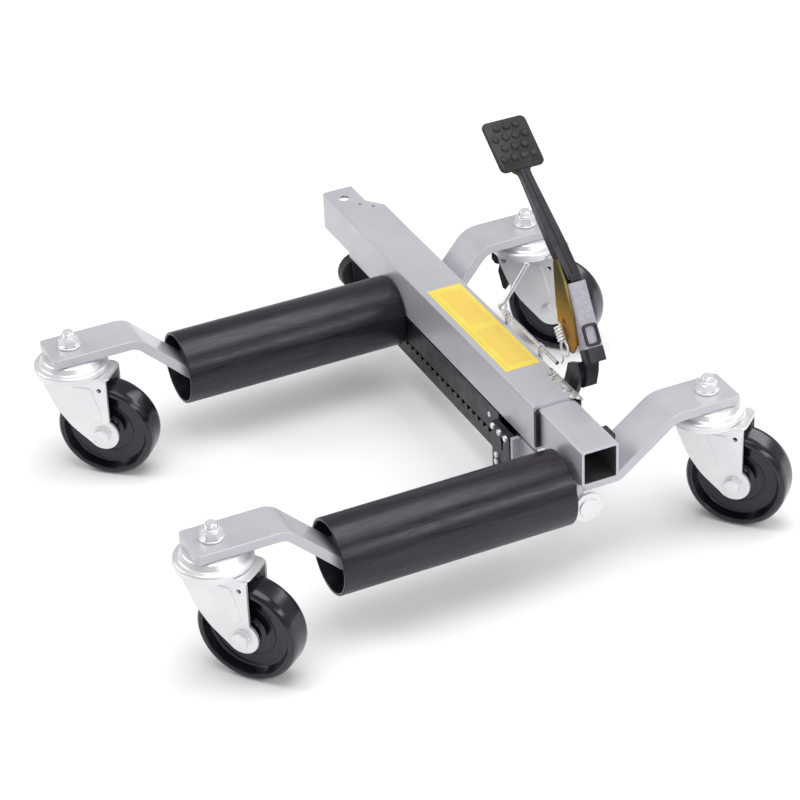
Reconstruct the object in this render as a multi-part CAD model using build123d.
from build123d import *
import math
import os

# Foot-operated wheel dolly. Design frame: X along the square cross tube towards the sliding
# arm, Y from the open fork mouth towards the pedal side, Z up from the ground. The near
# roller's axis is at X = 0 and the tube's centre plane at Y = 0. On export everything moves
# so that the origin is the bottom centre of the whole dolly's box.
ORIGIN = (-240.4, -110.45, 0.0)

# ---- driving dimensions, mm ----
ROLLER_SPACING = 380.0
SLIDE_TRAVEL = 168.0
TOOTH_PITCH = 12.0

OUTER_TUBE = 50.0
OUTER_WALL = 3.0
OUTER_TOP_Z = 137.5
OUTER_NEAR_X = -57.0
OUTER_FAR_X = -555.0
INNER_TUBE = 40.0
INNER_WALL = 3.0
INNER_TOP_Z = 134.2
INNER_NEAR_X = 31.0
INNER_FAR_X = -340.0

ROLLER_Z = 80.3
ROLLER_R = 38.0
ROLLER_WALL = 3.0
ROLLER_FRONT_Y = -270.7
ROLLER_REAR_Y = -27.2
AXLE_R = 10.0

BAR_WIDTH = 48.0
BAR_T = 10.0
BAR_END = 24.0
CASTER_FRONT_Y = -383.0
CASTER_REAR_Y = 134.0
CASTER_HEIGHT = 130.5

WHEEL_R = 51.0
WHEEL_WIDTH = 31.0
TRAIL = 35.0
FORK_T = 3.0
FORK_GAP = 34.0
RACE_R = 38.0
CROWN_TOP_Z = 116.6
KINGPIN_R = 6.0
WHEEL_BOLT_R = 5.0
BUSH_R = 7.0
CASTER_YAW = {"near_front": -50.9, "far_front": -41.1, "near_rear": -48.7, "far_rear": -50.0}

GUIDE_X = (-350.0, -134.0)
GUIDE_T = 3.0
RACK_LEFT_IN_GUIDE = 60.0
RACK_Y = (-24.0, -2.0)
RACK_Z = (38.0, 57.0)
RACK_X = (GUIDE_X[0] + RACK_LEFT_IN_GUIDE - SLIDE_TRAVEL, -93.0)
TOOTH_DEPTH = 6.0

PEDAL_Y = 45.0
PEDAL_PIVOT = (-92.0, 62.0)
PAWL_PIN_Z = 79.0
PAWL_PIN_R = 4.0
PIVOT_R = 5.0
DRIVE_PAWL_Y = (-17.0, -7.0)
HOLD_PAWL_Y = (-16.0, -6.0)
HOLD_PAWL_X = -154.0
HOLD_PAWL_Z = 75.0
RELEASE_AXIS = (26.0, 147.0)
RELEASE_X = (-224.0, -104.0)
RELEASE_R = 2.1

RUN = 0.05
GAP = 0.4

parts = {}


def box(x, y, z):
    """Block between pairs of limits on each axis."""
    size = (x[1] - x[0], y[1] - y[0], z[1] - z[0])
    middle = Pos((x[0] + x[1]) / 2, (y[0] + y[1]) / 2, (z[0] + z[1]) / 2)
    return middle * Box(*size)


def rod(start, end, radius):
    """Round bar between two points."""
    a = Vector(*start)
    b = Vector(*end)
    plane = Plane(origin=a, z_dir=b - a)
    return extrude(plane * Circle(radius), (b - a).length)


def ring(start, end, outer, inner):
    """Round sleeve between two points."""
    return rod(start, end, outer) - rod(start, end, inner)


def hexagon_bar(start, end, across_flats):
    """Hexagonal prism between two points."""
    a = Vector(*start)
    b = Vector(*end)
    plane = Plane(origin=a, z_dir=b - a)
    return extrude(plane * RegularPolygon(across_flats / 2, 6, major_radius=False), (b - a).length)


def side_plate(points, y):
    """Plate of an outline in X and Z, between two Y values."""
    face = make_face(Polyline(*[(px, 0, pz) for px, pz in points], close=True))
    return Pos(0, y[1], 0) * extrude(face, y[1] - y[0], dir=(0, -1, 0))


def bent_bar(centre_x, points, bends):
    """Flat bar swept along a centre line in Y and Z, with one bend radius per corner."""
    path = FilletPolyline(*[(centre_x, py, pz) for py, pz in points], radius=bends)
    start = Plane(origin=path @ 0, x_dir=(1, 0, 0), z_dir=path % 0)
    return sweep(start * Rectangle(BAR_WIDTH, BAR_T), path=path)


# ---- cross tubes ----
def square_tube(size, wall, top_z, x):
    """Square tube along X with rounded edges."""
    z = (top_z - size, top_z)
    outer = box(x, (-size / 2, size / 2), z)
    outer = fillet(outer.edges().filter_by(Axis.X), wall)
    hollow = (size / 2) - wall
    inner = box((x[0] - 1, x[1] + 1), (-hollow, hollow), (z[0] + wall, z[1] - wall))
    inner = fillet(inner.edges().filter_by(Axis.X), wall / 2)
    return outer - inner


LUG_HOLE = (-533.0, -9.5)
LUG_HOLE_R = 6.0
NOTCH_X = -490.0
NOTCH_Y = 9.0
NOTCH_CHAMFER = 22.0
LUG_LOWER_Z = 94.8
STUD_HOLES = ((-512.0, 0.0), (-501.0, 11.0))
STUD_HOLE_R = 2.0


def make_outer_tube():
    tube = square_tube(OUTER_TUBE, OUTER_WALL, OUTER_TOP_Z, (OUTER_FAR_X, OUTER_NEAR_X))
    corner = [
        (OUTER_FAR_X - 1, NOTCH_Y),
        (NOTCH_X - NOTCH_CHAMFER - 5, NOTCH_Y),
        (NOTCH_X - 5, OUTER_TUBE / 2 + 1),
        (OUTER_FAR_X - 1, OUTER_TUBE / 2 + 1),
    ]
    notch = extrude(make_face(Polyline(*[(px, py, 0) for px, py in corner], close=True)), 300)
    under = box((OUTER_FAR_X - 1, NOTCH_X), (-OUTER_TUBE, OUTER_TUBE), (0, LUG_LOWER_Z))
    tube = tube - notch - under - Pos(*LUG_HOLE, OUTER_TOP_Z) * Cylinder(LUG_HOLE_R, OUTER_TUBE)
    for x, y in STUD_HOLES:
        tube -= Pos(x, y, OUTER_TOP_Z) * Cylinder(STUD_HOLE_R, OUTER_TUBE / 2)
    return tube


def make_inner_tube():
    return square_tube(INNER_TUBE, INNER_WALL, INNER_TOP_Z, (INNER_FAR_X, INNER_NEAR_X))


PAD_FLANGE_T = 4.5
PAD_DEPTH = 40.0
PAD_PLAY = 0.2
FLOOR_PAD_HALF = 14.0


def make_mouth_pads():
    """Nylon slide pads that line the outer tube's mouth, each with a flange over its end."""
    mouth = OUTER_TUBE / 2 - OUTER_WALL
    slot = INNER_TUBE / 2 + PAD_PLAY
    z = (OUTER_TOP_Z - OUTER_TUBE + 6, INNER_TOP_Z - 2)
    pads = []
    for side in (-1, 1):
        liner_y = sorted((side * slot, side * (mouth - 0.1)))
        flange_y = sorted((side * slot, side * OUTER_TUBE / 2))
        liner = box((OUTER_NEAR_X - PAD_DEPTH, OUTER_NEAR_X), liner_y, z)
        flange = box((OUTER_NEAR_X, OUTER_NEAR_X + PAD_FLANGE_T), flange_y, z)
        pads.append(liner + flange)
    floor_z = (OUTER_TOP_Z - OUTER_TUBE + OUTER_WALL, INNER_TOP_Z - INNER_TUBE - PAD_PLAY)
    floor_pad = box((OUTER_NEAR_X - PAD_DEPTH, OUTER_NEAR_X), (-FLOOR_PAD_HALF, FLOOR_PAD_HALF), floor_z)
    pads.append(floor_pad)
    return pads


LABEL_X = (-305.0, -127.0)
LABEL_HALF = 19.0
LABEL_T = 0.3


def make_label():
    return box(LABEL_X, (-LABEL_HALF, LABEL_HALF), (OUTER_TOP_Z, OUTER_TOP_Z + LABEL_T))


# ---- arms ----
PLATE_MID_Z = CASTER_HEIGHT + BAR_T / 2
AXLE_FRONT_Y = -240.0
PLATE_Y = (-22.0, -14.0)
FRONT_BEND_Y = (-318.0, -261.0)
FRONT_BEND_R = (20.0, 14.0)
REAR_BEND_Y = {"near": (24.0, 86.0), "far": (30.5, 75.0)}
REAR_BEND_R = (11.0, 26.0)
ARM_CORNER_R = 4.0


def trim_end(bar, x, y, end):
    """Rounds the free corners of an arm and drills its kingpin hole."""
    tip = y + end * BAR_END
    corners = bar.edges().filter_by(Axis.Z).filter_by(lambda e: abs(e.center().Y - tip) < 0.5)
    bar = fillet(corners, ARM_CORNER_R)
    return bar - Pos(x, y, CASTER_HEIGHT) * Cylinder(KINGPIN_R + 0.1, 60)


def make_front_arm(x):
    points = [
        (CASTER_FRONT_Y - BAR_END, PLATE_MID_Z),
        (FRONT_BEND_Y[0], PLATE_MID_Z),
        (FRONT_BEND_Y[1], ROLLER_Z),
        (AXLE_FRONT_Y, ROLLER_Z),
    ]
    return trim_end(bent_bar(x, points, FRONT_BEND_R), x, CASTER_FRONT_Y, -1)


def make_rear_arm(x, low_z, low_bend_y, high_bend_y):
    points = [
        (PLATE_Y[1], low_z),
        (low_bend_y, low_z),
        (high_bend_y, PLATE_MID_Z),
        (CASTER_REAR_Y + BAR_END, PLATE_MID_Z),
    ]
    return trim_end(bent_bar(x, points, REAR_BEND_R), x, CASTER_REAR_Y, 1)


COLLAR_Y = (-236.0, -231.0)
BUSH_FRONT_Y = (-230.5, -214.0)
BUSH_REAR_Y = (-47.0, -29.0)
SHOULDER_R = 14.0
SPIGOT_R = 7.0
SPIGOT_Y = -25.6
AXLE_PLATE_R = 16.0
AXLE_PLATE_LOW_Z = {"near": 50.0, "far": 62.0}


def make_axle(x):
    """Fixed roller shaft with a turned shoulder at its front and a spigot at its rear."""
    shaft = rod((x, AXLE_FRONT_Y, ROLLER_Z), (x, SPIGOT_Y, ROLLER_Z), AXLE_R)
    shoulder = rod((x, COLLAR_Y[0], ROLLER_Z), (x, COLLAR_Y[1], ROLLER_Z), SHOULDER_R)
    spigot = rod((x, SPIGOT_Y, ROLLER_Z), (x, PLATE_Y[1], ROLLER_Z), SPIGOT_R)
    return shaft + shoulder + spigot


def make_axle_plate(x, low_z, top_z):
    """Rounded plate under an arm that holds the roller shaft's rear end."""
    half = BAR_WIDTH / 2
    plate = box((x - half, x + half), PLATE_Y, (low_z, top_z))
    lower = plate.edges().filter_by(Axis.Y).sort_by(Axis.Z)[:2]
    plate = fillet(lower, AXLE_PLATE_R)
    return plate - rod((x, PLATE_Y[0] - 1, ROLLER_Z), (x, PLATE_Y[1] + 1, ROLLER_Z), SPIGOT_R)


END_DISC_CENTRE = (-10.5, 66.3)
END_DISC_R = 16.0
END_DISC_T = 3.0
END_BOSS_R = 10.0
END_BOSS_T = 1.5


def make_end_disc():
    """Round disc welded to the near axle plate's outer edge, with a low boss."""
    x = BAR_WIDTH / 2
    y, z = END_DISC_CENTRE
    disc = rod((x, y, z), (x + END_DISC_T, y, z), END_DISC_R)
    return disc + rod((x + END_DISC_T, y, z), (x + END_DISC_T + END_BOSS_T, y, z), END_BOSS_R)


# ---- rollers ----
def make_roller(x):
    inner = ROLLER_R - ROLLER_WALL
    return ring((x, ROLLER_FRONT_Y, ROLLER_Z), (x, ROLLER_REAR_Y, ROLLER_Z), ROLLER_R, inner)


def make_roller_bushes(x):
    inner = ROLLER_R - ROLLER_WALL
    bushes = []
    for y in (BUSH_FRONT_Y, BUSH_REAR_Y):
        bushes.append(ring((x, y[0], ROLLER_Z), (x, y[1], ROLLER_Z), inner, AXLE_R + RUN))
    return bushes


# ---- casters, built at the swivel axis with the wheel trailing along +U ----
def caster_place(x, y, yaw):
    """Location of a caster: its local X is the trail direction."""
    return Pos(x, y, 0) * Rot(0, 0, yaw + 90)


def make_top_race():
    """Pressed upper race bolted under the arm, dished outwards over the fork."""
    outline = [
        (KINGPIN_R + RUN, CASTER_HEIGHT),
        (27, CASTER_HEIGHT),
        (30, 126),
        (RACE_R, 122),
        (RACE_R, CROWN_TOP_Z + GAP),
        (RACE_R - 3, CROWN_TOP_Z + GAP),
        (RACE_R - 3, 120.5),
        (27.5, 123.5),
        (24.5, 128.6),
        (KINGPIN_R + RUN, 128.6),
    ]
    face = make_face(Polyline(*[(r, 0, z) for r, z in outline], close=True))
    return revolve(face, Axis.Z)


KINGPIN_HEAD_T = 7.6
KINGPIN_HEAD_FLATS = 19.0
KINGPIN_NUT_T = 10.0
KINGPIN_NUT_FLATS = 18.0
KINGPIN_END = 17.0
WASHER_T = 2.0
WASHER_R = 12.0


def make_kingpin():
    """Kingpin bolt with its head under the fork, washer and lock nut above the arm."""
    head_top = CROWN_TOP_Z - FORK_T - GAP
    top = CASTER_HEIGHT + BAR_T
    nut_z = top + WASHER_T
    bolt = rod((0, 0, head_top), (0, 0, top + KINGPIN_END), KINGPIN_R)
    bolt += hexagon_bar((0, 0, head_top - KINGPIN_HEAD_T), (0, 0, head_top), KINGPIN_HEAD_FLATS)
    washer = ring((0, 0, top), (0, 0, nut_z), WASHER_R, KINGPIN_R)
    nut = hexagon_bar((0, 0, nut_z), (0, 0, nut_z + KINGPIN_NUT_T), KINGPIN_NUT_FLATS)
    nut -= rod((0, 0, top), (0, 0, nut_z + KINGPIN_NUT_T + 1), KINGPIN_R)
    return [bolt, washer, nut]


LEG_FRONT_U = -27.0
LEG_REAR_U = 43.5
LEG_FRONT = [(19.5, 38.3), (2.0, 57.0), (-12.0, 76.0), (-22.0, 98.0)]
FOOT_R = 17.0
LEG_HOLE = (35.7, 103.3)
LEG_HOLE_R = 2.5
CROWN_REACH = 45.0
CROWN_CORNER_R = 10.0


def make_leg(side):
    """One fork leg: square at the rear, curved at the front, rounded round the wheel bolt."""
    y0 = side * FORK_GAP / 2
    top_z = CROWN_TOP_Z - FORK_T
    foot_z = WHEEL_R + math.sqrt(FOOT_R**2 - (LEG_REAR_U - TRAIL) ** 2)
    outline = [
        (LEG_FRONT_U, top_z + 1),
        (LEG_REAR_U, top_z + 1),
        (LEG_REAR_U, foot_z),
        (TRAIL, WHEEL_R),
    ] + LEG_FRONT
    y = sorted((y0, y0 + side * FORK_T))
    leg = side_plate(outline, y)
    leg += rod((TRAIL, y[0], WHEEL_R), (TRAIL, y[1], WHEEL_R), FOOT_R)
    leg -= rod((TRAIL, y[0] - 1, WHEEL_R), (TRAIL, y[1] + 1, WHEEL_R), WHEEL_BOLT_R)
    hole_u, hole_z = LEG_HOLE
    return leg - rod((hole_u, y[0] - 1, hole_z), (hole_u, y[1] + 1, hole_z), LEG_HOLE_R)


def make_fork(brake_pin_r=0.0):
    """Pressed fork: round crown that reaches back over the wheel, and two legs."""
    low = CROWN_TOP_Z - FORK_T
    crown = Pos(0, 0, low + FORK_T / 2) * Cylinder(RACE_R - 1, FORK_T)
    outside = FORK_GAP / 2 + FORK_T
    crown += box((0, CROWN_REACH), (-outside, outside), (low, CROWN_TOP_Z))
    rear = crown.edges().filter_by(Axis.Z).sort_by(Axis.X)[-2:]
    crown = fillet(rear, CROWN_CORNER_R)
    fork = crown + make_leg(1) + make_leg(-1)
    if brake_pin_r:
        u, z = BRAKE_PIVOT
        fork -= rod((u, -outside - 1, z), (u, outside + 1, z), brake_pin_r)
    return fork - rod((0, 0, low - 1), (0, 0, CROWN_TOP_Z + 1), KINGPIN_R + RUN)


BRAKED_CASTER = "far_rear"
BRAKE_PIVOT = (-17.0, 102.0)
BRAKE_PIN_R = 3.0
BRAKE_HUB_R = 5.0
BRAKE_HUB_HALF = 15.0
BRAKE_TAB_HALF = 9.0
BRAKE_SHOE_HALF = 13.0
BRAKE_TAB = [
    (-36.0, 95.0),
    (-36.0, 101.0),
    (-32.0, 105.0),
    (-22.0, 107.0),
    (-18.0, 98.0),
    (-24.0, 90.0),
    (-32.0, 90.0),
]
BRAKE_SHOE = [(-24.0, 98.0), (-12.0, 98.0), (-12.0, 80.0), (-18.5, 62.0), (-22.0, 64.0), (-27.0, 84.0)]


def make_brake():
    """Foot brake in the leading side of a fork: pivot, shoe in front of the tread, foot tab."""
    u, z = BRAKE_PIVOT
    outside = FORK_GAP / 2 + FORK_T
    lever = rod((u, -BRAKE_HUB_HALF, z), (u, BRAKE_HUB_HALF, z), BRAKE_HUB_R)
    lever += rod((u, -outside, z), (u, outside, z), BRAKE_PIN_R)
    lever += side_plate(BRAKE_TAB, (-BRAKE_TAB_HALF, BRAKE_TAB_HALF))
    return lever + side_plate(BRAKE_SHOE, (-BRAKE_SHOE_HALF, BRAKE_SHOE_HALF))


WHEEL_HEAD_T = 6.0
WHEEL_NUT_T = 7.0
WHEEL_BOLT_END = 8.0
WHEEL_NUT_FLATS = 16.0


def make_wheel_bolt():
    """Wheel bolt through the fork legs, with its lock nut."""
    outside = FORK_GAP / 2 + FORK_T
    nut_end = outside + WHEEL_NUT_T
    bolt = rod((TRAIL, -outside, WHEEL_R), (TRAIL, outside + WHEEL_BOLT_END, WHEEL_R), WHEEL_BOLT_R)
    head_end = -outside - WHEEL_HEAD_T
    bolt += hexagon_bar((TRAIL, head_end, WHEEL_R), (TRAIL, -outside, WHEEL_R), WHEEL_NUT_FLATS)
    nut = hexagon_bar((TRAIL, outside, WHEEL_R), (TRAIL, nut_end, WHEEL_R), WHEEL_NUT_FLATS)
    nut -= rod((TRAIL, outside - 1, WHEEL_R), (TRAIL, nut_end + 1, WHEEL_R), WHEEL_BOLT_R)
    return [bolt, nut]


HUB_R = 13.0
WEB_R = (15.0, 41.5)
WEB_HALF = 6.0
RIM_R = (44.0, 47.5)
TREAD_HALF = 7.5


def make_wheel():
    """Moulded wheel: flat tread, rim lip, recessed web and a hub that holds its bush."""
    half = WHEEL_WIDTH / 2
    hub = FORK_GAP / 2 - 0.5
    profile = [
        (BUSH_R, hub),
        (HUB_R, hub),
        (WEB_R[0], WEB_HALF),
        (WEB_R[1], WEB_HALF),
        (RIM_R[0], half),
        (RIM_R[1], half),
        (WHEEL_R - 0.5, half - 3),
        (WHEEL_R, TREAD_HALF),
    ]
    outline = profile + [(r, -w) for r, w in reversed(profile)]
    face = make_face(Polyline(*[(r, w, 0) for r, w in outline], close=True))
    wheel = revolve(face, Axis.Y)
    return Pos(TRAIL, 0, WHEEL_R) * wheel


def make_hub_bush():
    hub = FORK_GAP / 2 - 0.2
    return ring((TRAIL, -hub, WHEEL_R), (TRAIL, hub, WHEEL_R), BUSH_R, WHEEL_BOLT_R + RUN)


def make_casters():
    races = {"near": [], "far": []}
    pins = {"near": [], "far": []}
    for name, yaw in CASTER_YAW.items():
        side, end = name.split("_")
        x = 0.0 if side == "near" else -ROLLER_SPACING
        y = CASTER_FRONT_Y if end == "front" else CASTER_REAR_Y
        place = caster_place(x, y, yaw)
        races[side].append(Pos(x, y, 0) * make_top_race())
        pins[side] += [Pos(x, y, 0) * solid for solid in make_kingpin()]
        braked = name == BRAKED_CASTER
        parts[name + "_fork"] = place * make_fork(BRAKE_PIN_R + RUN if braked else 0.0)
        if braked:
            parts["brake_lever"] = place * make_brake()
        parts[name + "_wheel_bolt"] = [place * solid for solid in make_wheel_bolt()]
        parts[name + "_wheel"] = place * make_wheel()
        parts[name + "_hub_bush"] = place * make_hub_bush()
    for side in ("near", "far"):
        parts[side + "_top_races"] = races[side]
        parts[side + "_kingpins"] = pins[side]


# ---- rack, its guide and the links to the sliding arm ----
FIRST_TOOTH_X = -110.5
TOOTH_LAND = 3.0


def make_rack():
    """Ratchet rack: square bar with saw teeth cut in its top."""
    rack = box(RACK_X, RACK_Y, RACK_Z)
    count = int((FIRST_TOOTH_X - RACK_X[0]) / TOOTH_PITCH)
    root_z = RACK_Z[1] - TOOTH_DEPTH
    for i in range(count):
        x = FIRST_TOOTH_X - i * TOOTH_PITCH
        points = [(x, root_z), (x + TOOTH_PITCH - TOOTH_LAND, RACK_Z[1] + 1), (x - 1, RACK_Z[1] + 1)]
        rack -= side_plate(points, (RACK_Y[0] - 1, RACK_Y[1] + 1))
    return rack


GUIDE_FRONT_Y = -25.0
GUIDE_BACK_Y = (-1.5, 1.5)
GUIDE_LIP_Y = -10.0
GUIDE_LIP_Z = (34.2, 37.6)
HOLD_PIN_R = 3.0


def make_rack_guide():
    """Channel under the outer tube that carries the rack on its lower lip."""
    top = OUTER_TOP_Z - OUTER_TUBE
    front = box(GUIDE_X, (GUIDE_FRONT_Y, GUIDE_FRONT_Y + GUIDE_T), (RACK_Z[1] + 2, top))
    web = box(GUIDE_X, (GUIDE_FRONT_Y, GUIDE_BACK_Y[1]), (top - GUIDE_T, top))
    back = box(GUIDE_X, GUIDE_BACK_Y, (GUIDE_LIP_Z[0], top))
    lip = box(GUIDE_X, (GUIDE_LIP_Y, GUIDE_BACK_Y[1]), GUIDE_LIP_Z)
    return front + web + back + lip - make_hold_pawl_pin()


def make_hold_pawl_pin():
    x, z = HOLD_PAWL_X, HOLD_PAWL_Z
    return rod((x, GUIDE_FRONT_Y - 0.5, z), (x, GUIDE_BACK_Y[1] + 0.5, z), HOLD_PIN_R)


PAWL_HUB_R = 7.0


def pawl(x, z, reach_x, reach_z, bore, y):
    """Pawl with a round hub and a wedge tip."""
    body = rod((x, y[0], z), (x, y[1], z), PAWL_HUB_R)
    root = PAWL_HUB_R - 2
    points = [(x - 4, z + root), (reach_x, reach_z), (reach_x + 4, reach_z), (x + 5, z - root)]
    body += side_plate(points, y)
    return body - rod((x, y[0] - 1, z), (x, y[1] + 1, z), bore)


END_BRACKET_X = (-129.0, -91.0)
END_BRACKET_Y = (-35.0, -28.0)
END_BRACKET_Z = (30.0, 85.0)
TIE_T = 5.0
TIE_Y = -24.5


def make_tie_plate():
    """Plate under the sliding tube that ties the rack to the near axle plate."""
    start = END_BRACKET_X[1]
    z = (RACK_Z[0] + 2, INNER_TOP_Z - INNER_TUBE - BAR_T)
    web = box((start, -BAR_WIDTH / 2), (TIE_Y, TIE_Y + TIE_T), z)
    tab = box((start, start + TIE_T), (END_BRACKET_Y[0] + 1, TIE_Y), (z[0], z[1] + 2))
    return web + tab


KEYHOLE = (-107.0, 74.0)
KEYHOLE_R = 3.2
KEYHOLE_LOW_Z = 62.0
KEYHOLE_SLOT_HALF = 1.6


def make_rack_end_bracket():
    """Black plate on the rack's front face, with a keyhole, bent against the tie plate."""
    x, z = KEYHOLE
    through = (END_BRACKET_Y[0] - 1, END_BRACKET_Y[1] + 1)
    plate = box(END_BRACKET_X, END_BRACKET_Y, END_BRACKET_Z)
    plate += box(END_BRACKET_X, (END_BRACKET_Y[1], RACK_Y[0]), RACK_Z)
    plate -= rod((x, through[0], z), (x, through[1], z), KEYHOLE_R)
    return plate - box((x - KEYHOLE_SLOT_HALF, x + KEYHOLE_SLOT_HALF), through, (KEYHOLE_LOW_Z, z))


BRACKET_BOLTS = ((-124.0, 82.0), (-110.0, 82.0), (-97.0, 82.0), (-117.0, 44.0), (-117.0, 52.0))
BRACKET_BOLT_T = 3.0
BRACKET_BOLT_FLATS = 6.0


def make_bracket_bolts():
    face_y = END_BRACKET_Y[0]
    bolts = []
    for x, z in BRACKET_BOLTS:
        bolts.append(hexagon_bar((x, face_y - BRACKET_BOLT_T, z), (x, face_y, z), BRACKET_BOLT_FLATS))
    return bolts


BUFFER_X = (-503.0, -489.0)
BUFFER_CENTRE = (-14.0, 66.0)
BUFFER_R = 21.0
BUFFER_BRACKET_T = 6.0
BUFFER_BRACKET_Y = (-24.0, 6.0)
BUFFER_BRACKET_Z = 56.0


def make_end_buffer():
    """Rubber buffer on a bracket under the far end of the outer tube."""
    return rod((BUFFER_X[0], *BUFFER_CENTRE), (BUFFER_X[1], *BUFFER_CENTRE), BUFFER_R)


def make_buffer_bracket():
    x = (BUFFER_X[1], BUFFER_X[1] + BUFFER_BRACKET_T)
    return box(x, BUFFER_BRACKET_Y, (BUFFER_BRACKET_Z, OUTER_TOP_Z - OUTER_TUBE))


STOP_X = (-8.0, 10.0)
STOP_Z = (122.0, 129.0)
STOP_T = 8.0


def make_slide_stop():
    """Stop block on the back of the sliding tube."""
    return box(STOP_X, (INNER_TUBE / 2, INNER_TUBE / 2 + STOP_T), STOP_Z)


# ---- pedal ----
PAD_CENTRE = (-231.0, 324.0)
LEVER_KNEE = (-106.0, 235.5)
LEVER_FOOT = (-66.0, 171.0)
PAD_WIDTH = 48.0
PAD_LENGTH = 57.0
PAD_T = 7.0
PAD_CORNER_R = 5.0
NECK = (-204.0, 304.9)
NECK_SIZE = (12.0, 10.0)
KNEE_SIZE = (15.5, 15.0)
KNUCKLE_R = 5.0
CORE_SIZE = (10.0, 9.0)
SOCKET_SIZE = (20.0, 15.0)
SOCKET_START = 3.0
COLLAR_HALF = 7.0
COLLAR_SIZE = (21.0, 17.0)
COLLAR_R = 4.0


def lever_plane(origin, towards, y=PEDAL_Y):
    """Plane square to a run of the lever: its X is world Y, its Z follows the run."""
    a = Vector(origin[0], y, origin[1])
    b = Vector(towards[0], y, towards[1])
    return Plane(origin=a, x_dir=(0, 1, 0), z_dir=b - a)


def run_length(a, b):
    return math.hypot(b[0] - a[0], b[1] - a[1])


def make_pedal_lever():
    """Bent lever: a tapered upper bar and a steeper lower bar inside the socket."""
    upper = lever_plane(LEVER_KNEE, NECK)
    top = Plane(origin=(NECK[0], PEDAL_Y, NECK[1]), x_dir=(0, 1, 0), z_dir=upper.z_dir)
    bar = loft([upper * Rectangle(*KNEE_SIZE), top * Rectangle(*NECK_SIZE)])
    lower = lever_plane(LEVER_KNEE, LEVER_FOOT)
    core = extrude(lower * Rectangle(*CORE_SIZE), run_length(LEVER_KNEE, LEVER_FOOT) - COLLAR_HALF)
    x, z = LEVER_KNEE
    half = CORE_SIZE[0] / 2
    return bar + core + rod((x, PEDAL_Y - half, z), (x, PEDAL_Y + half, z), KNUCKLE_R)


def pad_plane():
    """Plane on the pad's top face: X across, Y up the pad, Z out of the tread."""
    along = Vector(PAD_CENTRE[0] - LEVER_KNEE[0], 0, PAD_CENTRE[1] - LEVER_KNEE[1]).normalized()
    across = Vector(0, -1, 0)
    origin = Vector(PAD_CENTRE[0], PEDAL_Y, PAD_CENTRE[1])
    return Plane(origin=origin, x_dir=across, z_dir=across.cross(along) * -1)


def make_pedal_pad():
    """Foot pad with rounded corners on the lever's end."""
    return extrude(pad_plane() * RectangleRounded(PAD_WIDTH, PAD_LENGTH, PAD_CORNER_R), PAD_T)


def make_pedal_socket():
    """Steel sleeve round the lower lever."""
    plane = lever_plane(LEVER_KNEE, LEVER_FOOT)
    length = run_length(LEVER_KNEE, LEVER_FOOT) - SOCKET_START - COLLAR_HALF
    section = Rectangle(*SOCKET_SIZE) - Rectangle(*CORE_SIZE)
    return extrude(plane.offset(SOCKET_START) * section, length)


PLATE_SIDE_Y = (30.0, 35.0)
PLATE_EYE_R = 11.0
WEDGE_Y = 47.0
WEDGE = [
    (-57.0, 172.0),
    (-74.0, 162.0),
    (-83.0, 150.0),
    (-80.0, 138.0),
    (-70.0, 134.0),
    (-62.0, 140.0),
    (-58.0, 156.0),
]
WEB = [
    (PEDAL_PIVOT[0] - PLATE_EYE_R, PEDAL_PIVOT[1]),
    (PEDAL_PIVOT[0] - PLATE_EYE_R, 118.0),
    (-94.0, 141.0),
    (-90.0, 154.0),
    (-70.0, 164.0),
    (-64.0, 150.0),
    (-70.0, 137.0),
    (-80.0, 118.0),
    (PEDAL_PIVOT[0] + PLATE_EYE_R, PEDAL_PIVOT[1]),
]


def make_pedal_base():
    """Foot of the lever: collar under the socket, wedge, and the long plate down to the pivot."""
    x, z = PEDAL_PIVOT
    y = PLATE_SIDE_Y
    plane = lever_plane(LEVER_KNEE, LEVER_FOOT)
    start = plane.offset(run_length(LEVER_KNEE, LEVER_FOOT) - COLLAR_HALF)
    collar = extrude(start * RectangleRounded(*COLLAR_SIZE, COLLAR_R), 2 * COLLAR_HALF)
    plate = side_plate(WEB, y) + rod((x, y[0], z), (x, y[1], z), PLATE_EYE_R)
    plate -= rod((x, y[0] - 1, z), (x, y[1] + 1, z), PIVOT_R + RUN)
    plate -= rod((x, y[0] - 1, PAWL_PIN_Z), (x, y[1] + 1, PAWL_PIN_Z), PAWL_PIN_R)
    return collar + side_plate(WEDGE, (y[1], WEDGE_Y)) + plate


LATCH = [
    (-123.0, 250.0),
    (-116.0, 256.0),
    (-100.0, 238.0),
    (-84.0, 206.0),
    (-76.0, 180.0),
    (-84.0, 166.5),
    (-96.0, 166.0),
    (-112.0, 181.0),
    (-118.0, 208.0),
]
LATCH_Y = (32.0, 34.8)
LATCH_HOLE = (-100.6, 194.5)
LATCH_HOLE_R = 3.5


def make_latch_plate():
    """Latch plate on the socket's inner side."""
    x, z = LATCH_HOLE
    return side_plate(LATCH, LATCH_Y) - rod((x, LATCH_Y[0] - 1, z), (x, LATCH_Y[1] + 1, z), LATCH_HOLE_R)


RING_OUTER = (16.0, 22.0, 4.0)
RING_INNER = (11.0, 17.0, 2.5)
RING_ALONG = 56.0
RING_T = 3.0


def make_lock_ring():
    """Rounded loop clipped on the socket's outer face."""
    plane = lever_plane(LEVER_KNEE, LEVER_FOOT)
    middle = plane.origin + plane.z_dir * RING_ALONG
    face = Plane(origin=middle, x_dir=(0, 1, 0), z_dir=plane.z_dir.cross(Vector(0, 1, 0)))
    loop = RectangleRounded(*RING_OUTER) - RectangleRounded(*RING_INNER)
    return extrude(face.offset(SOCKET_SIZE[1] / 2) * loop, RING_T)


def make_pawl_pin():
    px = PEDAL_PIVOT[0]
    return rod((px, DRIVE_PAWL_Y[0] - 1.5, PAWL_PIN_Z), (px, PLATE_SIDE_Y[1], PAWL_PIN_Z), PAWL_PIN_R)


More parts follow.
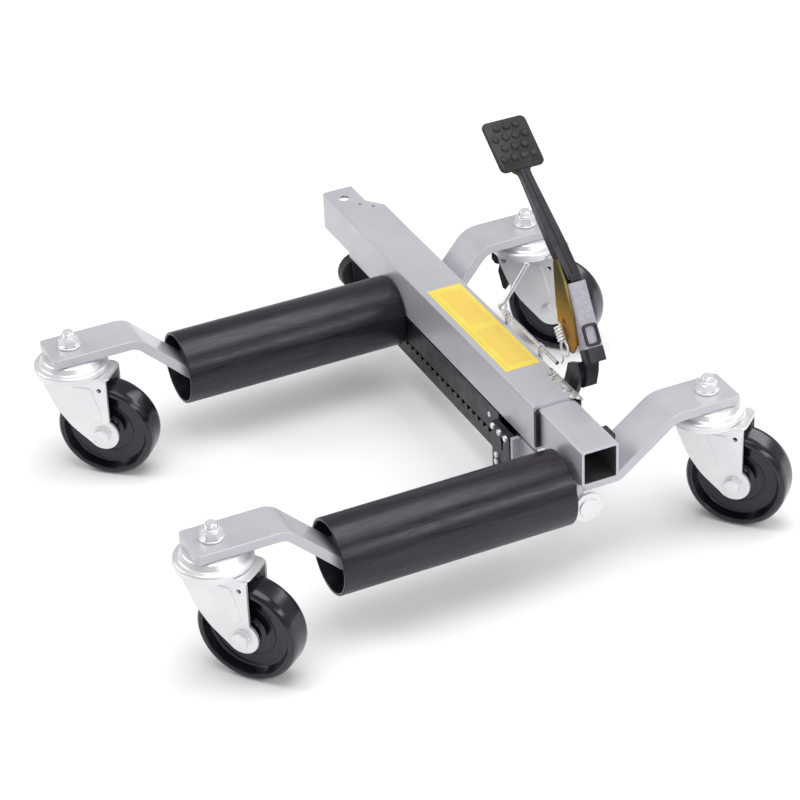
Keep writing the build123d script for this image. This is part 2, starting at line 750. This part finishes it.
CHEEK_Y = ((15.0, 20.0), (35.5, 40.5))
YOKE_X = (PEDAL_PIVOT[0] - 16, PEDAL_PIVOT[0] + 25)
YOKE_Z = (45.0, 50.0)
POST_T = 6.0
POST_TOP_Z = 100.0
PAWL_ROOM_R = 12.0
PAWL_ROOM_X = PEDAL_PIVOT[0] - 6


def make_pedal_bracket():
    """Yoke for the pedal's pivot: two cheeks, a floor and a post on the tube's back."""
    px, pz = PEDAL_PIVOT
    inner, outer = CHEEK_Y
    tube_bottom = OUTER_TOP_Z - OUTER_TUBE
    cheek = [(YOKE_X[0], YOKE_Z[1]), (YOKE_X[1], YOKE_Z[1]), (YOKE_X[1], tube_bottom), (px - 8, tube_bottom)]
    yoke = side_plate(cheek, inner) + side_plate(cheek, outer)
    yoke += box(YOKE_X, (inner[0], outer[1]), YOKE_Z)
    yoke += box((YOKE_X[1] - POST_T, YOKE_X[1]), (OUTER_TUBE / 2, outer[1]), (YOKE_Z[0], POST_TOP_Z))
    yoke -= rod((px, inner[0] - 1, pz), (px, outer[1] + 1, pz), PIVOT_R)
    pawl_room = (PAWL_ROOM_X, inner[0] - 1, PAWL_PIN_Z), (PAWL_ROOM_X, inner[1] + 8, PAWL_PIN_Z)
    return yoke - rod(*pawl_room, PAWL_ROOM_R)


PIVOT_FLATS = 18.0
PIVOT_HEAD_T = 6.0
PIVOT_END = 8.0


def make_pedal_pivot():
    """Pivot bolt of the pedal, with its nut."""
    px, pz = PEDAL_PIVOT
    inner, outer = CHEEK_Y[0][0], CHEEK_Y[1][1]
    bolt = rod((px, inner - PIVOT_END, pz), (px, outer, pz), PIVOT_R)
    bolt += hexagon_bar((px, outer, pz), (px, outer + PIVOT_HEAD_T, pz), PIVOT_FLATS)
    nut = hexagon_bar((px, inner - PIVOT_HEAD_T, pz), (px, inner, pz), PIVOT_FLATS)
    nut -= rod((px, inner - PIVOT_END, pz), (px, inner + 1, pz), PIVOT_R)
    return [bolt, nut]


# ---- release rod and return spring ----
CRANK_TOP = (58.0, 190.0)
CRANK_BEND_R = 6.0
CLIP_X = (-212.0, -140.0)
CLIP_HALF = 3.0
CLIP_R = 3.4
CLIP_TAIL = 18.0


def make_release_rod():
    """Wire rod along the back edge of the tube, cranked up into a hand lever."""
    y, z = RELEASE_AXIS
    path = FilletPolyline(
        (RELEASE_X[1], y, z),
        (RELEASE_X[0], y, z),
        (RELEASE_X[0] - 3, CRANK_TOP[0], CRANK_TOP[1]),
        radius=CRANK_BEND_R,
    )
    start = Plane(origin=path @ 0, z_dir=path % 0)
    return sweep(start * Circle(RELEASE_R), path=path)


def make_rod_clips():
    """Two eyes on the tube's back face that carry the release rod."""
    y, z = RELEASE_AXIS
    clips = []
    for x in CLIP_X:
        eye = rod((x - CLIP_HALF, y, z), (x + CLIP_HALF, y, z), CLIP_R)
        eye += box((x - CLIP_HALF, x + CLIP_HALF), (OUTER_TUBE / 2, y + 2), (z - CLIP_TAIL, z - 2))
        clips.append(eye - rod((x - CLIP_HALF, y, z), (x + CLIP_HALF, y, z), RELEASE_R + RUN))
    return clips


COIL_AXIS = (-97.0, 166.0)
COIL_Y = (29.6, 32.0)
COIL_R = 9.0
WIRE_SPACE = 2.5


def make_return_spring():
    """Coil of the pedal's return spring, drawn as its outer sleeve."""
    x, z = COIL_AXIS
    return ring((x, COIL_Y[0], z), (x, COIL_Y[1], z), COIL_R, COIL_R - WIRE_SPACE)


# ---- assembly ----
def build_all():
    bar_low = {"near": INNER_TOP_Z - INNER_TUBE - BAR_T / 2, "far": OUTER_TOP_Z - OUTER_TUBE - BAR_T / 2}
    parts["outer_tube"] = make_outer_tube()
    parts["inner_tube"] = make_inner_tube()
    parts["mouth_pads"] = make_mouth_pads()
    parts["top_label"] = make_label()
    for side, x in (("near", 0.0), ("far", -ROLLER_SPACING)):
        bar_z = bar_low[side]
        parts[side + "_front_arm"] = make_front_arm(x)
        parts[side + "_rear_arm"] = make_rear_arm(x, bar_z, *REAR_BEND_Y[side])
        parts[side + "_axle"] = make_axle(x)
        parts[side + "_axle_plate"] = make_axle_plate(x, AXLE_PLATE_LOW_Z[side], bar_z + BAR_T / 2)
        parts[side + "_roller"] = make_roller(x)
        parts[side + "_roller_bushes"] = make_roller_bushes(x)
    make_casters()
    parts["rack"] = make_rack()
    parts["rack_guide"] = make_rack_guide()
    parts["tie_plate"] = make_tie_plate()
    parts["rack_end_bracket"] = make_rack_end_bracket()
    parts["arm_hardware"] = [*make_bracket_bolts(), make_end_disc()]
    parts["end_buffer"] = make_end_buffer()
    parts["buffer_bracket"] = make_buffer_bracket()
    parts["slide_stop"] = make_slide_stop()
    parts["pedal_lever"] = make_pedal_lever()
    parts["pedal_pad"] = make_pedal_pad()
    parts["pedal_socket"] = make_pedal_socket()
    parts["pedal_base"] = make_pedal_base()
    parts["latch_plate"] = make_latch_plate()
    parts["lock_ring"] = make_lock_ring()
    parts["pawl_pin"] = make_pawl_pin()
    parts["pedal_bracket"] = make_pedal_bracket()
    parts["pedal_pivot_bolt"] = make_pedal_pivot()
    px = PEDAL_PIVOT[0]
    tip_z = RACK_Z[1] + 0.6
    hold_x = HOLD_PAWL_X
    parts["drive_pawl"] = pawl(px, PAWL_PIN_Z, px - 20, tip_z, PAWL_PIN_R + RUN, DRIVE_PAWL_Y)
    parts["holding_pawl"] = pawl(hold_x, HOLD_PAWL_Z, hold_x - 18, tip_z, HOLD_PIN_R + RUN, HOLD_PAWL_Y)
    parts["hold_pawl_pin"] = make_hold_pawl_pin()
    parts["release_rod"] = make_release_rod()
    parts["rod_clips"] = make_rod_clips()
    parts["return_spring"] = make_return_spring()


def all_solids(shape):
    """Every solid of a shape or of a list of shapes."""
    shapes = shape if isinstance(shape, list) else [shape]
    return [solid for item in shapes for solid in item.solids()]


def main():
    build_all()
    os.makedirs("parts", exist_ok=True)
    place = Pos(-ORIGIN[0], -ORIGIN[1], -ORIGIN[2])
    placed = {name: place * Compound(all_solids(shape)) for name, shape in parts.items()}
    for name, shape in placed.items():
        export_step(shape, "parts/" + name + ".step")
    bounds = Compound(all_solids(list(placed.values()))).bounding_box()
    print(len(parts), "nodes, box", bounds.min, bounds.max)


main()
